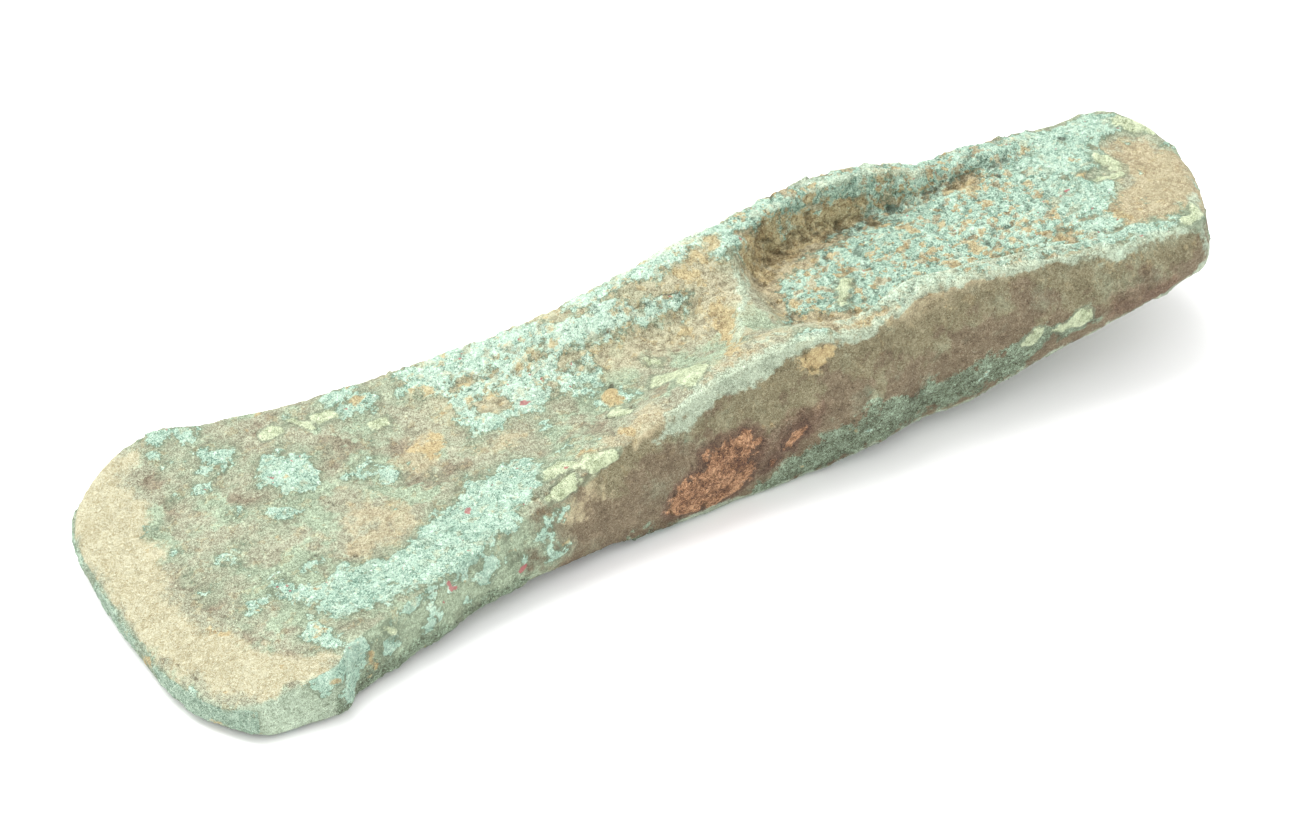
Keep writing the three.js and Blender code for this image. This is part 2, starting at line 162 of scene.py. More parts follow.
# Each patch of the patina is a list of strokes in mm of the part's own frame: from, to, and the two half-widths.
# Those of the upper face are in x and y, of the near side in x and z, and of the cutting edge in y and z.
patches = {
    "turquoise": {
        "upper": [
            (-59, 23.6, -56, 22.3, 1.5, 1.7), (-56.5, 18, -54.5, 15.6, 1.1, 1.9), (-58.4, 13.2, -57.2, 12.4, 1.2, 0.7),
            (-49.6, 11.8, -48.8, 7, 1.9, 3.2), (-51, 8.6, -47.6, 9.2, 1.8, 2.3), (-49, 6, -48.4, 4.6, 2.0, 1.2),
            (-52.9, 2, -52.1, 1.9, 1.5, 1.4), (-66.2, 9.6, -65.8, 9.3, 0.6, 0.6), (-66, 4.1, -65.9, 3.9, 0.35, 0.35),
            (-61.9, -0.7, -61.1, -1.1, 0.8, 0.9), (-61.9, -9.9, -61.4, -9.8, 1.0, 1.0),
            (-58.6, -8.3, -57.6, -10, 0.9, 1.3), (-57.6, -10, -55.5, -12.4, 1.3, 1.2), (-54, -13, -50.5, -14, 2.2, 3.2),
            (-53.5, -15.5, -49, -17, 2.0, 2.2), (-50, -13.5, -45, -14.2, 2.8, 2.4), (-45, -14.5, -40, -14.5, 3.0, 2.4),
            (-41, -14, -36, -12, 2.8, 3.8), (-36, -12.5, -30, -9.5, 3.6, 4.2), (-30, -9.5, -26.2, -8.5, 4.0, 3.2),
            (-30, -12, -27, -11, 3.2, 2.2), (-45, -17, -37, -16, 2.0, 2.4), (-37, -15.5, -31, -14, 2.4, 2.0),
            (-57.7, -18.5, -57.4, -20.8, 1.2, 1.5), (-53.4, -7.8, -52.2, -8, 0.8, 0.7),
            (-57.5, -7, -57.4, -7.2, 0.4, 0.4), (-42.3, 3.9, -40, 4.1, 0.5, 0.8), (-39.2, 4.6, -38.8, 0.8, 0.7, 0.6),
            (-40.6, 2.9, -40.3, 2.8, 0.5, 0.5), (-38.8, 16.8, -36.2, 18.2, 1.3, 1.0),
            (-38.4, 14.4, -35.2, 13.8, 1.3, 1.2), (-35.6, 16, -34.6, 14.4, 1.3, 1.1),
            (-30.6, 13.2, -27, 12.4, 1.2, 2.2), (-27, 14, -20, 12.6, 2.6, 2.6), (-20, 12, -14, 11.2, 2.8, 2.0),
            (-30, 15.6, -24, 15, 1.2, 1.6), (-26, 8, -20.5, 8.8, 1.3, 1.5), (-26.3, 7.4, -26.3, 3.2, 1.3, 1.2),
            (-26, 2.6, -20.5, 2.2, 1.2, 1.1), (-20.5, 2.2, -16.8, 3, 1.2, 1.5), (-20.4, 8.6, -16, 6, 1.8, 2.4),
            (-19, 6, -17, 4.6, 1.6, 1.6), (-13, 3.4, -11, 1.4, 1.5, 1.6), (-13, 0.6, -11.8, -0.2, 0.9, 0.8),
            (-10, 3.4, -9.6, 1.4, 1.1, 0.9), (-9.3, -2.6, -8.3, -4.2, 0.8, 1.0), (-13, 8.4, -4, 7.6, 1.7, 1.3),
            (-8, 11.4, 6, 10.8, 1.5, 1.3), (-4, 7, 4, 5.6, 1.0, 0.9), (3, 12, 12, 12.4, 1.0, 1.4),
            (12, 11.8, 16, 13.6, 1.6, 1.3), (16, 13.6, 36, 13.2, 1.4, 1.2), (15, 12.2, 40, 12.0, 1.5, 1.3),
            (12, 9, 15, 9.8, 1.3, 0.8), (20, 1, 27, -1, 4.6, 5.0), (27, 2, 36, 2, 6.0, 6.4), (36, 2, 48, 1, 7.4, 7.2),
            (48, 0, 57, -2, 7.4, 4.4), (52, 7.6, 60, 6.4, 4.0, 3.8), (40, 11.6, 58, 11.6, 2.2, 2.0),
            (60, 9.6, 69, 10, 3.2, 2.4), (60, 4, 63, 4.4, 2.4, 1.8), (58.6, -2.4, 61.6, -1.8, 1.4, 0.8),
            (55, -9, 58, -8, 2.6, 1.6), (22, -10.4, 50, -10.8, 0.8, 1.2), (19, -8.6, 50, -9.6, 1.7, 2.0),
            (28, 10.4, 44, 9.2, 1.0, 1.7), (50, -11.6, 68, -12.2, 1.2, 0.7), (11, -11.4, 14.6, -11.2, 0.9, 0.7),
        ],
        "side": [
            (-60, 6.2, -55, 7.4, 2.2, 1.4), (-57, 3.4, -53.6, 6.6, 1.2, 1.0), (-50.5, 4.6, -49.5, 6.5, 1.0, 1.0),
            (-46.5, 8.6, -38, 9.6, 0.9, 0.7), (-44.4, 4.2, -43.2, 5.6, 0.7, 0.8), (-35.4, 6.4, -34.6, 8.4, 0.8, 0.9),
            (-38.8, 4.4, -38, 4.0, 0.8, 0.6), (-31.4, 7.2, -30.4, 6.4, 0.8, 0.8), (-26, 6.2, -25, 5.2, 1.0, 0.8),
            (-27, 9.2, -24, 10.6, 0.7, 0.5),
        ],
        "edge": [
            (-24, 3, -12, 3.4, 2.0, 1.6), (-4, 3, 6, 2.4, 1.4, 1.4), (12, 3.4, 19, 4, 1.0, 0.8),
        ],
    },
    "greenCrust": {
        "side": [
            (4, 0.4, 12, 3.8, 1.2, 3.2), (12, 3.8, 21, 6.6, 3.2, 3.6), (21, 6.6, 31, 7, 3.4, 3.0),
            (31, 7.2, 41, 9, 2.8, 2.6), (41, 9.8, 50.6, 12.4, 2.4, 1.0), (-14, 1.6, -8, 1.6, 1.2, 0.8),
            (-58, 2, -30, 3.2, 1.4, 1.0),
        ],
    },
    "cream": {
        "upper": [
            (-66, 24, -69, 20, 1.6, 2.6), (-69, 20, -70.6, 14, 3.4, 4.4), (-70.4, 14, -71, 7, 4.6, 4.2),
            (-71, 7, -72, 0, 4.2, 2.8), (-72, 0, -72.2, -7, 2.8, 2.9), (-72, -7, -70.4, -12.5, 3.0, 3.6),
            (-69.6, -12.5, -67.4, -17.5, 3.2, 3.6), (-67.2, -17.5, -65, -21.4, 3.4, 3.0),
            (-64.4, -21.6, -59, -23.4, 2.6, 1.0), (-68, 22, -64.4, 22.4, 2.0, 1.2),
        ],
    },
    "sand": {
        "upper": [
            (60.5, -7.5, 69, -6.5, 3.6, 4.8), (67.6, 3.2, 70, -2, 3.2, 4.4), (64.5, 0.2, 67, 3.4, 1.4, 2.6),
            (58.6, -5.2, 61, -9, 0.9, 1.6), (-43, -4, -41, -7.4, 2.8, 2.0), (-47, -8.6, -44, -8.4, 1.2, 1.6),
            (-27, -1.2, -22, -1.6, 1.0, 0.8), (-35, 1.2, -33, 4.4, 1.8, 1.2), (-1, -10.8, 10, -10.6, 1.6, 1.0),
            (5.6, -2, 9, -9, 1.0, 1.4), (-20, -12.6, -8, -12, 1.5, 1.3), (15, 6.6, 18.4, 4, 2.4, 1.6),
        ],
        "side": [
            (-23, 9.6, -20, 10.8, 0.8, 0.7),
        ],
    },
    "ochre": {
        "upper": [
            (-32.6, 2.2, -31.4, 4.2, 0.8, 0.6), (-33.4, 3.6, -32.6, 1.4, 0.6, 0.6), (-36.6, 15.4, -35.6, 15, 0.8, 0.7),
            (-29.6, 12, -28.4, 11.6, 0.5, 0.5), (-17.4, 8.2, -16.4, 7.9, 0.6, 0.5), (-21, 10.6, -19.5, 10.4, 0.5, 0.4),
            (-8.3, 2.1, -8, 1.9, 0.6, 0.5), (-57.5, -18.8, -57.4, -19, 0.35, 0.3),
            (-67.6, -9.8, -66.4, -11.8, 0.5, 0.6), (-18.3, -10.8, -17.8, -11.6, 0.4, 0.5),
            (-13.2, -11, -12.4, -12.4, 0.5, 0.6), (-2.2, -8.4, -2.1, -9.2, 0.3, 0.3), (7.4, 2.6, 6.8, -2, 1.1, 1.2),
            (6.8, -2, 5.4, -5.5, 1.2, 0.9), (5.4, -5.5, 3, -9, 0.9, 0.7), (2.8, 2.4, 2.6, 0, 0.6, 0.5),
            (8.6, 9.8, 9, 8.8, 0.8, 0.6), (5.6, 8.6, 6.8, 7.4, 0.9, 0.7), (11, 11, 11.3, 9.8, 0.5, 0.4),
            (16, 10, 18.6, 10.6, 0.7, 0.8), (14.8, 8.2, 17, 7.2, 0.9, 1.3), (19, 10.8, 24, 11.2, 1.2, 1.1),
            (24, 11.2, 33, 11, 1.1, 0.6), (18, 9.4, 22, 9.8, 0.9, 0.7), (36.4, 5.4, 36.8, 3.6, 0.7, 0.5),
            (33.8, 8.6, 34, 7.4, 0.7, 0.5), (44.6, 8.2, 47.4, 7.4, 0.6, 0.8), (46, 9.6, 50.4, 8.2, 0.5, 0.5),
            (40.6, -1, 41.4, -3.4, 0.6, 0.5), (46, -3.4, 46.4, -4.2, 0.5, 0.4), (51.6, -7.6, 52.4, -8, 0.8, 0.5),
            (43.2, -4, 43.4, -4.6, 0.4, 0.4), (37.4, -4.4, 38, -5.4, 0.5, 0.5), (60.2, 1.8, 60.4, 1.4, 0.7, 0.5),
            (59, -7, 59.6, -9.4, 0.6, 0.6), (55.4, 9.7, 57, 9.6, 0.4, 0.4), (17, -0.4, 16.6, 0.8, 0.5, 0.4),
            (19, -2, 18.4, -4, 0.5, 0.6), (17.4, -11.8, 20.6, -12.4, 0.35, 0.35), (24.4, 0.8, 24.6, 0.2, 0.4, 0.3),
            (10.8, -12.2, 12, -12.4, 0.5, 0.4),
        ],
        "side": [
            (-53, 3.4, -52.6, 5.2, 0.8, 0.8), (11.3, 18.5, 13.1, 19.1, 1.3, 1.4), (5, 11.8, 5.1, 11.9, 0.35, 0.3),
            (-58.8, 5.4, -58, 5.2, 0.3, 0.25),
        ],
        "edge": [
            (-10.6, 4.4, -7.6, 1.8, 0.4, 0.5), (-17.4, 4.6, -16.6, 4.4, 0.3, 0.3), (-21.6, 1.6, -19.8, 1.2, 0.25, 0.25),
            (-4.6, 4.2, -3, 3.6, 0.25, 0.2),
        ],
    },
    "pebble": {
        "upper": [
            (-10.9, -4, -10.2, -1.9, 0.8, 0.9),
        ],
    },
    "paleGreen": {
        "upper": [
            (-35.6, 9.9, -34.9, 9.6, 1.0, 0.9), (-44.4, 16.8, -42.6, 14.6, 0.6, 0.5),
            (-47.6, 16.4, -46.4, 15.6, 0.6, 0.6), (-41, 15.4, -40, 14.8, 0.7, 0.6),
            (-22.7, -11.2, -21.5, -12.1, 1.3, 1.3), (-25.0, -14.9, -22.6, -14.5, 1.0, 1.1),
            (-19.0, -13.1, -16.2, -13.5, 1.2, 1.0), (-11.6, -5.8, -11.2, -7.6, 0.8, 1.1),
            (-3.6, -4, -1.6, -7, 1.8, 2.0), (-1.6, -7, -4, -10, 1.8, 1.0), (-3.2, 1.2, -2.6, -0.4, 0.6, 0.5),
            (61.6, 0, 65, 0.2, 0.8, 0.5), (70.4, 9.4, 72.6, 6.6, 1.2, 0.8), (66, -12.6, 69, -11.6, 0.6, 0.5),
            (64, 3.8, 64.8, 1.8, 1.0, 0.8), (22, -3, 24.4, 1, 0.6, 0.6),
        ],
        "side": [
            (-22.6, 13.4, -19.4, 13.8, 0.4, 0.4), (42, 11.4, 43.6, 12.4, 0.7, 0.6), (46, 11.4, 49.6, 13.2, 0.6, 0.8),
            (-50, 7, -49, 6.4, 0.5, 0.5),
        ],
    },
    "rust": {
        "side": [
            (-6.2, 5, -1, 8.2, 2.5, 3.2), (-1, 5.4, 1.2, 9.6, 3.4, 2.3), (-3.4, 9.6, 0.8, 10.4, 1.3, 1.5),
            (-5, 4, 0, 3.2, 1.6, 1.3), (8.4, 7.6, 9.4, 9.4, 0.5, 0.6), (5.4, 5, 6, 5.6, 0.4, 0.5),
        ],
    },
    "darkRust": {
        "side": [
            (4, 5, 5.4, 10, 0.9, 1.0), (5.4, 8, 9.4, 10.2, 2.6, 2.4), (9, 9.6, 12.4, 11.6, 2.0, 1.2),
            (55, 13, 63, 12.6, 1.8, 1.4),
        ],
        "upper": [
            (22, 14.8, 26, 14.8, 0.3, 0.3), (46.5, 14, 59, 14, 0.35, 0.3),
        ],
    },
    "brown": {
        "upper": [
            (-61.8, 20.6, -62.6, 17, 0.9, 1.3), (-62.4, 13, -62.8, 10.8, 1.2, 0.8), (-67, -0.4, -66.4, -4.4, 1.2, 1.2),
            (-66.6, -4.4, -65.2, -7.4, 1.0, 0.8), (-64.4, -13.4, -63.6, -16, 0.8, 0.6),
            (-62, -19.6, -61.6, -21.4, 0.6, 0.5), (-54.4, -19.4, -52.8, -20.4, 1.0, 0.7),
            (-49, -9.6, -46.4, -11.2, 1.1, 0.8), (-41.6, -9.6, -40.6, -11.4, 0.9, 0.6), (-37, -1, -31, -3.4, 1.6, 1.6),
            (-55, 7, -54, 6, 1.6, 1.2), (-40.4, 8.6, -35, 4.6, 1.0, 1.3), (-44, 7, -42.6, 10.4, 1.8, 1.6),
            (-48.6, 18.4, -46, 19.4, 0.9, 0.6), (-15.2, -4.6, -14.6, -9.4, 0.8, 1.4), (-6, -5.4, -6.4, -8.6, 1.0, 0.6),
            (-24.6, 5.5, -20.4, 4.5, 0.7, 0.7), (-13.6, 5.6, -13, 4.8, 0.5, 0.6), (0.4, 1.8, 1, 0.6, 0.7, 0.6),
            (-14.4, 1.6, -14.2, -2, 0.7, 0.8),
        ],
    },
    "dark": {
        "upper": [
            (24.2, 8.8, 24.8, 7.8, 0.35, 0.45), (27.2, 9.2, 27.4, 8.8, 0.3, 0.3), (24.4, 6.3, 24.6, 6, 0.25, 0.2),
            (33.4, 9.6, 33.8, 9, 0.4, 0.3), (43.2, 10.3, 43.7, 9.9, 0.3, 0.3), (51.2, 8, 51.5, 7.6, 0.4, 0.3),
            (62, 10.2, 62.6, 9.9, 0.35, 0.3), (28.6, 10.6, 30, 10.3, 0.35, 0.3), (20.6, 10.2, 21.4, 10.4, 0.25, 0.25),
            (22.6, 9.6, 23.2, 9.4, 0.3, 0.25), (31.2, 9.4, 31.8, 9.2, 0.25, 0.3), (36.4, 9.8, 36.9, 9.5, 0.25, 0.2),
            (47.2, -1.2, 47.8, -1.4, 0.4, 0.3), (13.6, 2.6, 14.4, 2.3, 0.25, 0.2), (53.6, -0.9, 53.9, -1.3, 0.3, 0.3),
            (39.2, 1.8, 39.3, 1.5, 0.25, 0.25), (-47.3, 1.6, -46.2, -0.4, 0.1, 0.13),
            (-53.2, -6.5, -51.8, -6.8, 0.08, 0.1), (-46.2, -0.4, -45.6, -2.4, 0.07, 0.06),
            (-49.6, -8.2, -48.4, -9.2, 0.06, 0.08), (-73.4, -12, -72, -16.6, 0.0, 0.06),
            (-69.6, -20.6, -68, -23, 0.0, 0.05), (-9.9, -0.6, -9.2, -0.9, 0.3, 0.25),
            (-12.6, -6, -12.2, -7.6, 0.2, 0.2), (-9.8, -6.4, -9.6, -7.6, 0.2, 0.2),
            (-26.6, -13.8, -24.6, -13.8, 0.2, 0.18), (-24.6, -13.8, -20.6, -13.5, 0.18, 0.12),
            (3.4, 6.2, 7, 5, 0.1, 0.08), (-3.8, 8, 4, 6.6, 0.07, 0.08), (-7.4, 7, -2, 6, 0.06, 0.07),
            (56, -8.9, 56.2, -9.5, 0.3, 0.2), (43, -3, 43.2, -3.3, 0.2, 0.2),
        ],
        "side": [
            (-3.8, 2.8, -3.4, 3, 0.25, 0.22), (10.7, 18.4, 11.2, 20.2, 0.16, 0.14), (11.2, 17.6, 13, 17.8, 0.12, 0.12),
            (-8.9, 3.6, -8.3, 7, 0.12, 0.12),
        ],
    },
    "redSpeck": {
        "upper": [
            (-51, 8.6, -50.6, 8.2, 0.22, 0.18), (-53.5, -15.3, -53.3, -15.7, 0.2, 0.14),
            (-33.5, -9.8, -33.4, -10.6, 0.22, 0.16), (-31.2, -12.9, -31, -13.2, 0.2, 0.2),
            (-26.1, -10.6, -26, -10.9, 0.16, 0.14), (-22.3, -12.2, -22.2, -12.6, 0.2, 0.16),
            (-34.7, -10.5, -34.6, -10.6, 0.14, 0.14), (-37.7, -12.7, -37.5, -12.9, 0.16, 0.12),
            (-19.8, 3, -18.4, 2.8, 0.22, 0.2), (-16, 5.1, -15.8, 4.9, 0.18, 0.16),
            (-16.4, 13.5, -16.1, 13.2, 0.22, 0.18), (-23.2, 14.2, -23, 13.9, 0.16, 0.16),
            (-38.5, 14.5, -38.2, 14.1, 0.18, 0.16), (-49.8, 10.8, -49.7, 10.6, 0.12, 0.12),
            (-47.6, 8.1, -47.5, 8, 0.12, 0.1), (-44, -15.4, -43.8, -15.6, 0.14, 0.12),
            (-28.4, -9, -28.3, -9.2, 0.12, 0.12), (-25.6, 7, -25.4, 6.8, 0.12, 0.12),
        ],
        "side": [
            (-42.3, 8.3, -41.9, 7.9, 0.25, 0.25), (-42.2, 6.7, -41.6, 6.3, 0.3, 0.25),
            (-40, 8.1, -39.4, 7.9, 0.4, 0.35), (-30.4, 5.3, -29.8, 5.1, 0.3, 0.25),
        ],
    },
    "worn": {
        "upper": [
            (14, -12.8, 20, -13, 0.6, 0.7), (20, -13, 26, -12, 0.7, 0.6), (26, -12, 34, -11.8, 0.6, 0.6),
            (34, -11.8, 42, -12.4, 0.6, 0.7), (42, -12.4, 52, -13.2, 0.7, 0.6), (52, -13.2, 66, -13.6, 0.6, 0.4),
            (5.6, -5.6, 9.6, 0.4, 0.5, 0.6), (9.6, 0.4, 12.6, 6.2, 0.6, 0.5), (12, -12.4, 16, -13, 0.6, 0.5),
            (26, -11.8, 32, -12, 0.6, 0.5), (24, -9.6, 29, -9.4, 0.3, 0.3),
        ],
        "side": [
            (-10, 14.6, -4, 16.6, 0.5, 0.8), (-4, 16.8, 4, 19.0, 0.9, 1.0), (4, 19.0, 10.4, 20.4, 1.0, 0.6),
            (15, 19.8, 20, 20.8, 0.6, 0.7),
        ],
    },
}

relief = {
    "voxel": 0.00030, "triangles": 190000, "weldReach": 0.000002, "seed": 7.3,
    "inputs": {
        "Unevenness": 0.2, "Grain Size": 0.95, "Grain Height": 0.21, "Scab Height": 0.24, "Pit Depth": 0.3,
        "Ragged Edge": 1.5, "Wrinkle Height": 0.16,
    },
    "faceReach": 6.0,  # mm taken off a patch's field where its face turns away
    "hiddenReach": 9.0,  # and off the strewn finishes on the faces that the photo shows
    "facingRounds": 8, "formRounds": 40, "convexRounds": 12,  # rounds of blur
    # where a zone begins and ends, in mm
    "pocketStart": (12.0, 16.0), "pocketEnd": (52.0, 60.0), "nearCrest": (12.2, 13.4),
    "middleStart": (-33.0, -24.0), "middleEnd": (9.0, 13.0), "middleNear": (-2.0, 3.0), "middleLean": 0.12,
    "noises": {"Broad": (13.0, 5.0), "Middling": (4.0, 8.0), "Fine": (1.3, 11.0)},  # size in mm, shift
    "crumbs": {"turquoise": (4.2, 31.0), "ochre": (2.3, 37.0)}, "crumbShare": 0.62,
    "wornAbove": 0.15, "pitSize": 3.1, "pitShift": 47.0, "pitShare": 0.45,
    # heights and depths in mm
    "crustHeight": 0.24, "rustHeight": 0.3, "pebbleHeight": 0.7, "paleHeight": 0.14, "brownDepth": 0.1,
    "darkDepth": 0.4, "floorFade": 1.4,
}


def strokeTree():
    tree = bpy.data.node_groups.new("patinaStroke", "GeometryNodeTree")
    for name, kind in (("Place", "Vector"), ("Start", "Vector"), ("Along", "Vector"),
                       ("Per Length", "Float"), ("Width", "Float"), ("Growth", "Float")):
        tree.interface.new_socket(name=name, in_out="INPUT", socket_type="NodeSocket" + kind)
    tree.interface.new_socket(name="Field", in_out="OUTPUT", socket_type="NodeSocketFloat")
    bench = Bench(tree)
    given = tree.nodes.new("NodeGroupInput")
    place, start, along, perLength, width, growth = [Wire(bench, given.outputs[i]) for i in range(6)]
    off = bench.vector("SUBTRACT", place, start)
    share = bench.math("MULTIPLY", bench.vector("DOT_PRODUCT", off, along, 1), perLength, clamp=True)
    gap = bench.vector("DISTANCE", off, bench.scaled(along, share), 1)
    result = tree.nodes.new("NodeGroupOutput")
    tree.links.new((width + growth * share - gap).socket, result.inputs[0])
    return tree


def strokeField(bench, strokeGroup, place, strokes):  # mm inside the nearest stroke, negative outside
    field = None
    for x1, y1, x2, y2, width, endWidth in strokes:
        squared = max((x2 - x1) ** 2 + (y2 - y1) ** 2, 0.0001)
        inputs = {"Place": place, "Start": (x1, y1, 0.0), "Along": (x2 - x1, y2 - y1, 0.0),
                  "Per Length": 1.0 / squared, "Width": width, "Growth": endWidth - width}
        one = bench.node("GeometryNodeGroup", {"node_tree": strokeGroup}, inputs)
        field = one if field is None else bench.most(field, one)
    return field


def reliefTree(finish):
    tree = bpy.data.node_groups.new("patinaRelief", "GeometryNodeTree")
    tree.interface.new_socket(name="Geometry", in_out="INPUT", socket_type="NodeSocketGeometry")
    for name, value in (*relief["inputs"].items(), ("Seed", relief["seed"])):
        tree.interface.new_socket(name=name, in_out="INPUT", socket_type="NodeSocketFloat").default_value = value
    tree.interface.new_socket(name="Geometry", in_out="OUTPUT", socket_type="NodeSocketGeometry")
    bench = Bench(tree)
    rise, most = bench.rise, bench.most
    given = tree.nodes.new("NodeGroupInput")
    shape, uneven, grainSize, grainHeight, scabHeight, pitDepth, ragged, wrinkle, seed = [
        Wire(bench, given.outputs[i]) for i in range(9)]
    strokeGroup = strokeTree()
    built = {"shape": shape}

    def keep(name, value, kind="FLOAT"):  # stored on the mesh, so that what follows reads it and the finish can too
        built["shape"] = bench.node("GeometryNodeStoreNamedAttribute", {"data_type": kind, "domain": "POINT"},
                                    {"Geometry": built["shape"], "Name": name, "Value": value})
        return bench.node("GeometryNodeInputNamedAttribute", {"data_type": kind}, {"Name": name})

    def blur(value, rounds, kind="FLOAT_VECTOR"):
        return bench.node("GeometryNodeBlurAttribute", {"data_type": kind}, {0: value, "Iterations": rounds})

    def centred(size, detail, extra):
        return bench.vector("SUBTRACT", bench.noise(sown, size, extra, detail, 0.5, 1), (0.5, 0.5, 0.5))

    place = bench.scaled(bench.node("GeometryNodeInputPosition"), 1000.0)  # mm
    sown = bench.vector("ADD", place, bench.joined(seed * 31.0, seed * 13.0, seed * -23.0))
    sown = keep("sown", sown, "FLOAT_VECTOR")
    facing = bench.vector("NORMALIZE", blur(bench.node("GeometryNodeInputNormal"), relief["facingRounds"]), (0, 0, 0))
    facing = keep("facing", facing, "FLOAT_VECTOR")
    # mm that the surface stands out of its own blurred form
    proud = bench.vector("SUBTRACT", place, blur(place, relief["formRounds"]))
    convex = keep("convex", bench.vector("DOT_PRODUCT", proud, facing, 1))
    convex = keep("convex", blur(convex, relief["convexRounds"], "FLOAT"))
    x, y, z = bench.parts(place)
    nx, ny, nz = bench.parts(facing)

    # places bent by noise, for the ragged borders of the patches
    bent = bench.vector("ADD", place, bench.scaled(centred(3.4, 1.0, 0.0), ragged * 2.2))
    bent = keep("bent", bench.vector("ADD", bent, bench.scaled(centred(1.1, 2.0, 3.1), ragged)), "FLOAT_VECTOR")
    bx, by, bz = bench.parts(bent)

    # which face a point belongs to
    farWall = rise(-ny, 0.1, 0.35) * rise(y, 4.0, 6.0) * rise(nz, -0.2, 0.05)
    upper = keep("upperFace", most(rise(nz, 0.15, 0.45), farWall))
    side = keep("sideFace", rise(-ny, 0.35, 0.65) * rise(-y, 5.0, 7.0))
    edge = keep("edgeFace", rise(-nx, 0.3, 0.6) * rise(-x, 50.0, 56.0) * rise(-nz, -0.6, -0.3))
    photoSide = keep("photoSide", most(most(upper, side), edge))
    faces = {"upper": (bench.joined(bx, by), upper), "side": (bench.joined(bx, bz), side),
             "edge": (bench.joined(by, bz), edge)}
    broad, middling, fine = [keep("noise" + name, bench.noise(sown, size, shift, 2.0, 0.55) - 0.5)
                             for name, (size, shift) in relief["noises"].items()]
    pocket = rise(x, *relief["pocketStart"]) * (1.0 - rise(x, *relief["pocketEnd"]))
    middle = upper * rise(x, *relief["middleStart"]) * (1.0 - rise(x, *relief["middleEnd"]))
    middle = keep("middle", middle * rise(y + x * relief["middleLean"], *relief["middleNear"]))
    coarse = keep("coarse", most(upper * pocket * (1.0 - rise(-y, *relief["nearCrest"])), middle * 0.7))

    field = {}
    for kind, lists in patches.items():
        for face, strokes in lists.items():
            flat, belongs = faces[face]
            part = strokeField(bench, strokeGroup, flat, strokes) - (1.0 - belongs) * relief["faceReach"]
            field[kind] = most(field[kind], part) if kind in field else part
    # hidden faces carry the same finishes, strewn by noise
    shown = photoSide * relief["hiddenReach"]
    patchy = broad * 26.0 + middling * 10.0 + fine * 2.0 - shown
    field["turquoise"] = most(field["turquoise"], patchy - 3.2)
    field["greenCrust"] = most(field["greenCrust"], patchy + 1.0)
    rusty = (bench.noise(sown, 15.0, 20.0, 1.0) - 0.72) * 40.0 + middling * 16.0 + fine * 6.0
    field["rust"] = most(field["rust"], rusty - shown)
    bare = (bench.noise(sown, 9.0, 24.0, 1.0) - 0.6) * 22.0 + fine * 3.0
    field["brown"] = most(field["brown"], bare - shown)
    field["cream"] = keep("cream", field["cream"])
    crumb = {}  # crumbs of turquoise and of ochre, each in its own cell
    for kind, (size, shift) in relief["crumbs"].items():
        far = bench.cells(bent, size, shift)
        chance = bench.parts(bench.cells(bent, size, shift, None, 1))[0]
        crumb[kind] = (chance - relief["crumbShare"]) * size * 0.55 - far * size + coarse * 0.25
    onGreen = crumb["turquoise"] - side * 0.6 - rise(field["cream"], -1.5, 0.5) * 2.0
    field["turquoise"] = most(field["turquoise"], onGreen)
    field["ochre"] = most(field["ochre"], crumb["ochre"] + coarse * 0.35 - 0.3)
    # the crests are worn from the rust patch to the butt, less along the pocket and on the far side
    crest = (convex - relief["wornAbove"]) * 7.0 + middling
    crest = crest - rise(-x, 5.0, 13.0) * 1.8 - rise(x, 10.0, 15.0) * 0.45 - rise(y, -6.0, 0.0) * 0.5
    field["worn"] = most(field["worn"], crest)
    field = {kind: keep(kind, value) for kind, value in field.items()}

    # how far each kind of relief covers, 0 to 1
    grain = bench.cells(bent, 1.0, 41.0, {"feature": "SMOOTH_F1"}, 0, {"Scale": 1.0 / grainSize, "Smoothness": 0.35})
    grains = keep("grains", (0.42 - grain) * 1.7 + (bench.noise(sown, 0.8, 44.0, 2.0, 0.6) - 0.5) * 1.4)
    scab = rise(field["turquoise"] + fine * 4.0, -0.35, 0.45)
    rim = scab * (1.0 - rise(field["turquoise"], 0.4, 1.6))
    crust = rise(field["greenCrust"] + fine * 4.0, -0.5, 0.9)
    rustScab = rise(most(field["rust"], field["darkRust"]) + fine * 2.4, -0.3, 0.6)
    sideShare = side * (1.0 - crust) * (1.0 - rustScab) * (1.0 - scab)
    smooth = keep("smooth", most(sideShare, rise(field["worn"], -0.2, 0.4)))
    rough = (0.3 + coarse * 0.7 + scab * 0.15 + crust * 0.55 + rustScab * 0.5) * (1.0 - smooth * 0.85)
    cellPit = bench.cells(bent, relief["pitSize"], relief["pitShift"])
    pitChance = bench.parts(bench.cells(bent, relief["pitSize"], relief["pitShift"], None, 1))[1]
    pit = rise((pitChance - relief["pitShare"]) * 1.5 - cellPit * relief["pitSize"], -0.35, 0.5)
    pit = keep("pit", pit * (0.25 + coarse * 0.75) * (1.0 - smooth))
    lean = bench.joined(bx * 0.16 + by * 0.05, by * 1.05 + bx * 0.42, bz * 0.6)
    folds = 1.0 - bench.math("ABSOLUTE", bench.noise(lean, 1.5, 51.0, 2.0, 0.5) - 0.5) * 7.0
    folds = keep("folds", most(folds, -0.2) * middle)

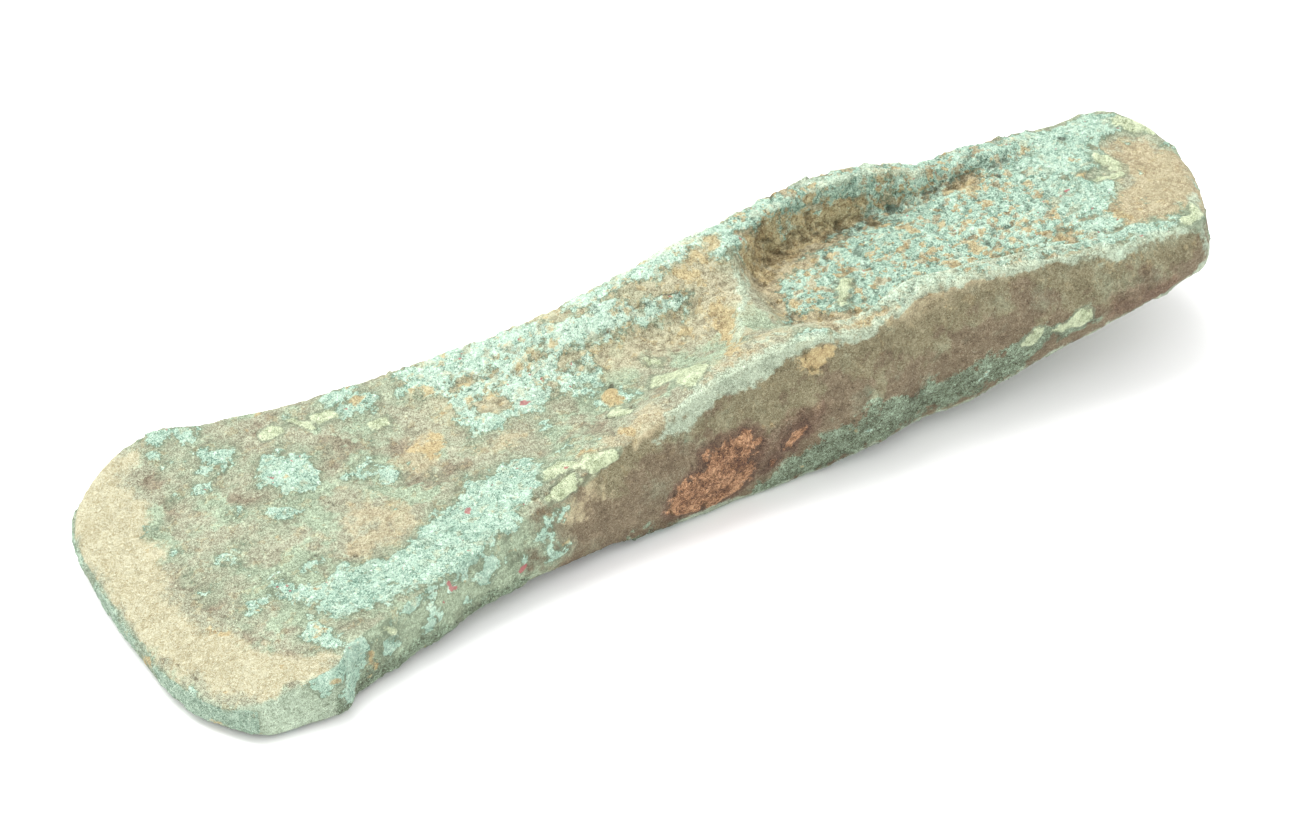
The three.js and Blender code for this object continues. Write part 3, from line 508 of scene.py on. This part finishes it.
    # the height, in mm along the blurred normal
    height = (broad * 1.2 + middling * 0.8) * uneven * (1.0 - sideShare * 0.5)
    height = height + grains * grainHeight * rough - pit * pitDepth + folds * wrinkle * 0.6
    height = height + (scab * 0.7 + rim * 0.5) * scabHeight
    height = height + crust * relief["crustHeight"] + rustScab * relief["rustHeight"]
    height = height + rise(field["pebble"], -0.2, 0.8) * relief["pebbleHeight"]
    height = height + rise(field["paleGreen"], -0.3, 0.7) * relief["paleHeight"]
    height = height - rise(field["brown"] + fine * 3.0, -0.8, 0.8) * relief["brownDepth"]
    height = height - rise(field["dark"], -0.22, 0.3) * relief["darkDepth"]
    height = keep("relief", height * rise(z, 0.0, relief["floorFade"]))
    moved = bench.node("GeometryNodeSetPosition", None,
                       {"Geometry": built["shape"], "Offset": bench.scaled(facing, height * 0.001)})
    for name in ("sown", "facing", "bent", "noiseBroad", "noiseMiddling", "noiseFine", "photoSide", "middle",
                 "folds", "relief"):
        moved = bench.node("GeometryNodeRemoveAttribute", None, {"Geometry": moved, "Name": name})
    whole = bench.node("GeometryNodeRealizeInstances", None, {"Geometry": moved})
    dressed = bench.node("GeometryNodeSetMaterial", None, {"Geometry": whole, "Material": finish})
    result = tree.nodes.new("NodeGroupOutput")
    tree.links.new(dressed.socket, result.inputs[0])
    return tree


def plainMesh(piece):  # the evaluated object as a mesh with no modifiers
    made = bpy.data.meshes.new_from_object(piece.evaluated_get(bpy.context.evaluated_depsgraph_get()))
    piece.modifiers.clear()
    piece.data = made


def makeHead(finish):
    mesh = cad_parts["axe_head"].data.copy()
    mesh.materials.clear()
    work = bmesh.new()
    work.from_mesh(mesh)
    bmesh.ops.remove_doubles(work, verts=work.verts, dist=relief["weldReach"])
    work.to_mesh(mesh)
    work.free()
    head = bpy.data.objects.new("patinatedAxeHead", mesh)
    bpy.context.scene.collection.objects.link(head)
    fineMesh = head.modifiers.new("fineMesh", "REMESH")
    fineMesh.mode, fineMesh.voxel_size, fineMesh.use_smooth_shade = "VOXEL", relief["voxel"], True
    plainMesh(head)
    print("fine mesh:", len(head.data.polygons), "faces")
    layer = head.modifiers.new("patinaRelief", "NODES")
    layer.node_group = reliefTree(finish)
    values = {**relief["inputs"], "Seed": relief["seed"]}
    for item in layer.node_group.interface.items_tree:
        if item.in_out == "INPUT" and item.name in values:
            layer[item.identifier] = values[item.name]
    plainMesh(head)
    thin = head.modifiers.new("thin", "DECIMATE")
    thin.ratio = relief["triangles"] / (2.0 * len(head.data.polygons))  # the fine mesh is all quads
    thin.use_collapse_triangulate = True
    plainMesh(head)
    print("relief:", len(head.data.polygons), "faces")
    return head


bronze = {  # each finish as a ramp from its crevices to its rubbed tops, in linear light; raised grains sit higher on it as a painted highlight
    "olive": ((0.199, 0.183, 0.122), (0.352, 0.337, 0.236), (0.422, 0.451, 0.321), (0.629, 0.652, 0.472)),
    "greyGreen": ((0.18, 0.225, 0.147), (0.316, 0.382, 0.267), (0.415, 0.518, 0.359), (0.595, 0.714, 0.514)),
    "side": ((0.0831, 0.0612, 0.0367), (0.158, 0.119, 0.0733), (0.216, 0.172, 0.107), (0.333, 0.275, 0.183)),
    "sideOlive": ((0.0864, 0.0741, 0.0408), (0.173, 0.147, 0.0815), (0.234, 0.21, 0.123), (0.354, 0.327, 0.207)),
    "turquoise": ((0.115, 0.21, 0.155), (0.305, 0.465, 0.36), (0.43, 0.63, 0.495), (0.7, 0.86, 0.71)),
    "cream": ((0.366, 0.307, 0.175), (0.507, 0.469, 0.3), (0.573, 0.546, 0.365), (0.681, 0.665, 0.489)),
    "sand": ((0.298, 0.231, 0.134), (0.437, 0.374, 0.227), (0.539, 0.463, 0.286), (0.67, 0.596, 0.403)),
    "ochre": ((0.255, 0.167, 0.0774), (0.451, 0.335, 0.163), (0.559, 0.444, 0.224), (0.666, 0.572, 0.327)),
    "rust": ((0.07, 0.0371, 0.0265), (0.2, 0.106, 0.0583), (0.42, 0.212, 0.106), (0.72, 0.445, 0.254)),
    "darkRust": ((0.056, 0.0324, 0.0238), (0.136, 0.0828, 0.0544), (0.208, 0.126, 0.0816), (0.368, 0.245, 0.17)),
    "greenCrust": ((0.035, 0.04, 0.022), (0.11, 0.13, 0.08), (0.23, 0.3, 0.2), (0.48, 0.64, 0.47)),
    "paleGreen": ((0.24, 0.284, 0.158), (0.4, 0.47, 0.29), (0.54, 0.617, 0.396), (0.74, 0.804, 0.563)),
    "worn": ((0.175, 0.217, 0.148), (0.322, 0.393, 0.287), (0.438, 0.538, 0.403), (0.661, 0.775, 0.604)),
    "brown": ((0.124, 0.0965, 0.0619), (0.224, 0.178, 0.124), (0.286, 0.232, 0.158), (0.387, 0.336, 0.234)),
    "dark": (0.05, 0.04, 0.02), "red": (0.45, 0.12, 0.13), "rampPlaces": (0.24, 0.42, 0.60, 0.82),
    "level": 0.53, "grainSize": 0.5, "grainShift": 4.0, "grainDepth": 0.00022, "bump": 0.9, "specular": 0.3,
    "noises": {  # size in mm, shift, detail, roughness, distortion
        "broad": (9.0, 8.0, 2.0, 0.6, 0.0), "mottle": (2.8, 5.0, 3.0, 0.6, 0.0), "speckle": (0.8, 14.0, 3.0, 0.6, 1.0),
        "grit": (0.2, 11.0, 1.0, 0.5, 2.0), "border": (1.2, 2.0, 4.0, 0.65, 0.0), "holes": (1.7, 21.0, 4.0, 0.6, 0.0),
        "strewn": (1.4, 24.0, 4.0, 0.62, 0.0), "specks": (0.8, 61.0, 1.0, 0.5, 0.0),
        "hollowShade": (1.2, 33.0, 4.0, 0.65, 0.0),
    },
    "borders": {  # mm that the mottle and the fine noise push a patch's border, and its softness in mm
        "brown": (7.0, 5.0, 0.6), "turquoise": (3.0, 5.0, 0.16), "sand": (10.0, 6.0, 1.2), "cream": (5.0, 3.0, 0.8),
        "greenCrust": (6.0, 6.0, 0.5), "ochre": (2.0, 4.0, 0.35), "pebble": (0.5, 1.0, 0.2),
        "darkRust": (3.0, 4.0, 0.9), "rust": (2.0, 4.0, 0.25),
    },
    "shares": {  # how much of a layer covers what lies below it
        "brown": 0.85, "coarse": 0.85, "greenCrust": 0.95, "rim": 0.8, "recessOchreAndShade": 0.8, "ochre": 0.85, "darkRust": 0.65,
        "rustShade": 0.85, "rust": 0.95, "rubbed": 0.8, "paleEdgeShade": 0.6, "paleGreen": 0.92, "red": 0.8,
        "darkPatch": 0.65, "pit": 0.4,
    },
}


def bronzeFinish():
    paint = bpy.data.materials.new("patinatedBronze")
    paint.use_nodes = True
    bench = Bench(paint.node_tree)
    blend, rise, most = bench.blend, bench.rise, bench.most
    shader = paint.node_tree.nodes["Principled BSDF"]
    # the dark colour serves for painted shade in crevices, hollows and pits, and for the listed dark spots
    share, shadeAndSpotDark = bronze["shares"], (*bronze["dark"], 1.0)
    place = bench.node("ShaderNodeTexCoord", None, None, 3)
    place = bench.node("ShaderNodeMapping", None, {"Vector": place, "Scale": (1000.0, 1000.0, 1000.0)})  # to mm

    def field(name):  # what reliefTree left on the mesh
        return bench.node("ShaderNodeAttribute", {"attribute_name": name}, None, 2)

    def noise(name):  # centred on 0
        size, shift, detail, roughness, twist = bronze["noises"][name]
        return bench.noise(place, size, shift, detail, roughness, 0, twist) - 0.5

    broad, mottle, speckle, grit, border, holes = [
        noise(name) for name in ("broad", "mottle", "speckle", "grit", "border", "holes")]
    grain = bench.cells(place, bronze["grainSize"], bronze["grainShift"])
    coarse, smooth, side, upper, edge, grains, pit, convex = [
        field(name) for name in ("coarse", "smooth", "sideFace", "upperFace", "edgeFace", "grains", "pit", "convex")]
    spots = {kind: field(kind) for kind in patches}
    x, y, z = bench.parts(place)
    toPocket, toBlade, toButt = rise(x, 10.0, 16.0), rise(-x, 18.0, 34.0), rise(x, 54.0, 58.0)

    # where on the ramps a point lies
    level = bronze["level"] + coarse * (0.22 - toPocket * 0.22) + speckle * (0.9 - side * 0.3)
    # the grains term lifts raised grains and lowers the gaps between them: painted highlight and shade on the grain
    # relief
    level = level + grit * (2.3 - side * 0.9) + mottle * 0.5 + grains * (0.05 + coarse * 0.13)

    def ramp(name, value=level):
        stops = [(spot, (*colour, 1.0)) for spot, colour in zip(bronze["rampPlaces"], bronze[name])]
        return bench.node("ShaderNodeValToRGB", {"stops": stops}, {0: value})

    def cover(kind):  # how far a patch covers, with its broken border
        coarseEdge, fineEdge, soft = bronze["borders"][kind]
        return rise(spots[kind] + mottle * coarseEdge + border * fineEdge, -soft, soft)

    # the ground: olive and grey-green above, browner on the near side, greener towards the blade
    ground = blend(rise(broad * 2.0 + mottle, 0.0, 0.2), ramp("olive"), ramp("greyGreen"))
    low = most(most(side, 1.0 - upper), toPocket * rise(-y + mottle * 2.0, 13.2, 14.2))
    greener = rise(mottle + broad + (z - 13.0) * 0.05 - rise(x, 10.0, 24.0) * 0.1, -0.06, 0.1)
    sideGround = blend(greener, ramp("side"), ramp("sideOlive"))
    sideGround = blend(rise(toBlade + mottle * 1.6, 0.35, 0.9), sideGround, ramp("greyGreen", level - 0.1))
    sideGround = blend(rise(-x + mottle * 8.0, 53.0, 57.0), sideGround, ramp("worn"))
    base = blend(low, ground, sideGround)
    base = blend(edge, base, ramp("worn", level - 0.18))
    base = blend(cover("brown") * share["brown"], base, ramp("brown"))

    # the halo round the turquoise, then sand, cream and green crust
    turned, cream = cover("turquoise"), cover("cream")
    halo = rise(spots["turquoise"] + mottle * 6.0 + border * 3.0, -3.0, -0.3)
    base = blend(halo * (0.6 - side * 0.3) * (1.0 - edge), base, ramp("greyGreen", level - 0.16))
    base = blend(coarse * share["coarse"], base, ramp("sand"))
    base = blend(cover("sand") * (0.7 + toButt * 0.2), base, ramp("sand", level - toButt * 0.09))
    base = blend(cream, base, ramp("cream"))
    base = blend(cover("greenCrust") * share["greenCrust"], base, ramp("greenCrust"))

    # the turquoise with its holes and a painted shade in a ring round its border, and ochre patina with painted shade
    # in the recesses
    missing = rise(holes, 0.05, 0.10) * (0.25 + coarse * coarse * 0.6)
    base = blend(turned * (1.0 - missing) * (1.0 - edge * 0.5), base, ramp("turquoise", level + border * 0.4))
    # a darker ring just outside the turquoise: painted shade of the scab's raised edge
    rim = spots["turquoise"] + mottle * 3.0 + border * 5.0
    rim = rise(rim, -0.5, -0.1) * (1.0 - rise(rim, 0.0, 0.3))
    base = blend(rim * share["rim"] * (1.0 - edge), base, ramp("greyGreen", level - 0.36))
    # ochre patina in concave spots of the coarse zone, set a little darker there as painted shade
    recessOchreAndShade = rise(mottle - convex * 0.5, 0.1, 0.45) * coarse
    base = blend(recessOchreAndShade * share["recessOchreAndShade"], base, ramp("ochre", level - 0.07))
    strewn = rise(noise("strewn"), 0.075, 0.115) * most(coarse, 0.3) * upper * (1.0 - cream)
    base = blend(most(cover("ochre"), strewn) * share["ochre"], base, ramp("ochre"))
    base = blend(cover("pebble"), base, ramp("ochre", level + 0.1))

    # rust, rubbed metal, the pale green bloom and the red specks
    base = blend(cover("darkRust") * share["darkRust"], base, ramp("darkRust"))
    rustShade = rise(spots["rust"] + mottle * 2.0 + border * 3.0, -1.7, -0.5)
    base = blend(rustShade * share["rustShade"], base, ramp("darkRust", level - 0.12))
    base = blend(cover("rust") * share["rust"], base, ramp("rust", level + speckle * 0.5 + mottle * 0.6))
    rubbed = rise(spots["worn"] + mottle * 1.5 + border * 2.4, -0.3, 0.3) * (1.0 - cream)
    base = blend(rubbed * share["rubbed"], base, ramp("worn"))
    pale = spots["paleGreen"] + mottle * 1.5 + border * 1.5
    # a darker ring just outside the pale green bloom: painted shade of its raised edge
    base = blend(rise(pale, -0.75, -0.35) * share["paleEdgeShade"], base, ramp("greyGreen", level - 0.36))
    base = blend(rise(pale, -0.2, 0.2) * share["paleGreen"], base, ramp("paleGreen", level + 0.05 + border * 0.8))
    specks = rise(noise("specks"), 0.25, 0.29) * turned * upper
    red = most(rise(spots["redSpeck"] + border * 0.9, -0.1, 0.04), specks)
    base = blend(red * share["red"], base, (*bronze["red"], 1.0))

    # painted shade in the crevices between the grains, in concave hollows and in the pits, and the listed dark spots,
    # all in one dark colour
    # painted shade between the grains and where the surface is concave
    creviceShade = rise(grain * 0.5 - grains - grit * 1.5 - convex, 0.3, 1.0) * (0.15 + coarse * 0.25)
    # painted shade strewn over concave places of the coarse zone
    hollowShade = rise(noise("hollowShade"), 0.05, 0.10) * rise(-convex, 0.02, 0.12) * coarse * 0.5
    base = blend(hollowShade, base, shadeAndSpotDark)
    # the listed dark spots, and painted shade in the pits that the relief sinks
    darkSpotsAndPitShade = rise(spots["dark"] + border * 1.2, -0.15, 0.15) * share["darkPatch"]
    darkSpotsAndPitShade = most(darkSpotsAndPitShade, rise(pit, 0.5, 1.0) * share["pit"])
    base = blend(most(creviceShade, darkSpotsAndPitShade), base, shadeAndSpotDark)

    rough = 0.88 - rubbed * 0.2 - side * 0.12 + turned * 0.06
    bumps = (speckle * 1.6 + grit * 1.5 - grain * (0.25 + coarse * 0.5)) * (1.0 - smooth * 0.45)
    raised = bench.node("ShaderNodeBump", None,
                        {"Strength": bronze["bump"], "Distance": bronze["grainDepth"], "Height": bumps})
    for name, value in (("Base Color", base), ("Roughness", rough), ("Normal", raised)):
        paint.node_tree.links.new(value.socket, shader.inputs[name])
    shader.inputs["Specular IOR Level"].default_value = bronze["specular"]
    print("finish made")
    return paint


setStudio()
finish = bronzeFinish()
head = makeHead(finish)
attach(head, "root")
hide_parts("axe_head")
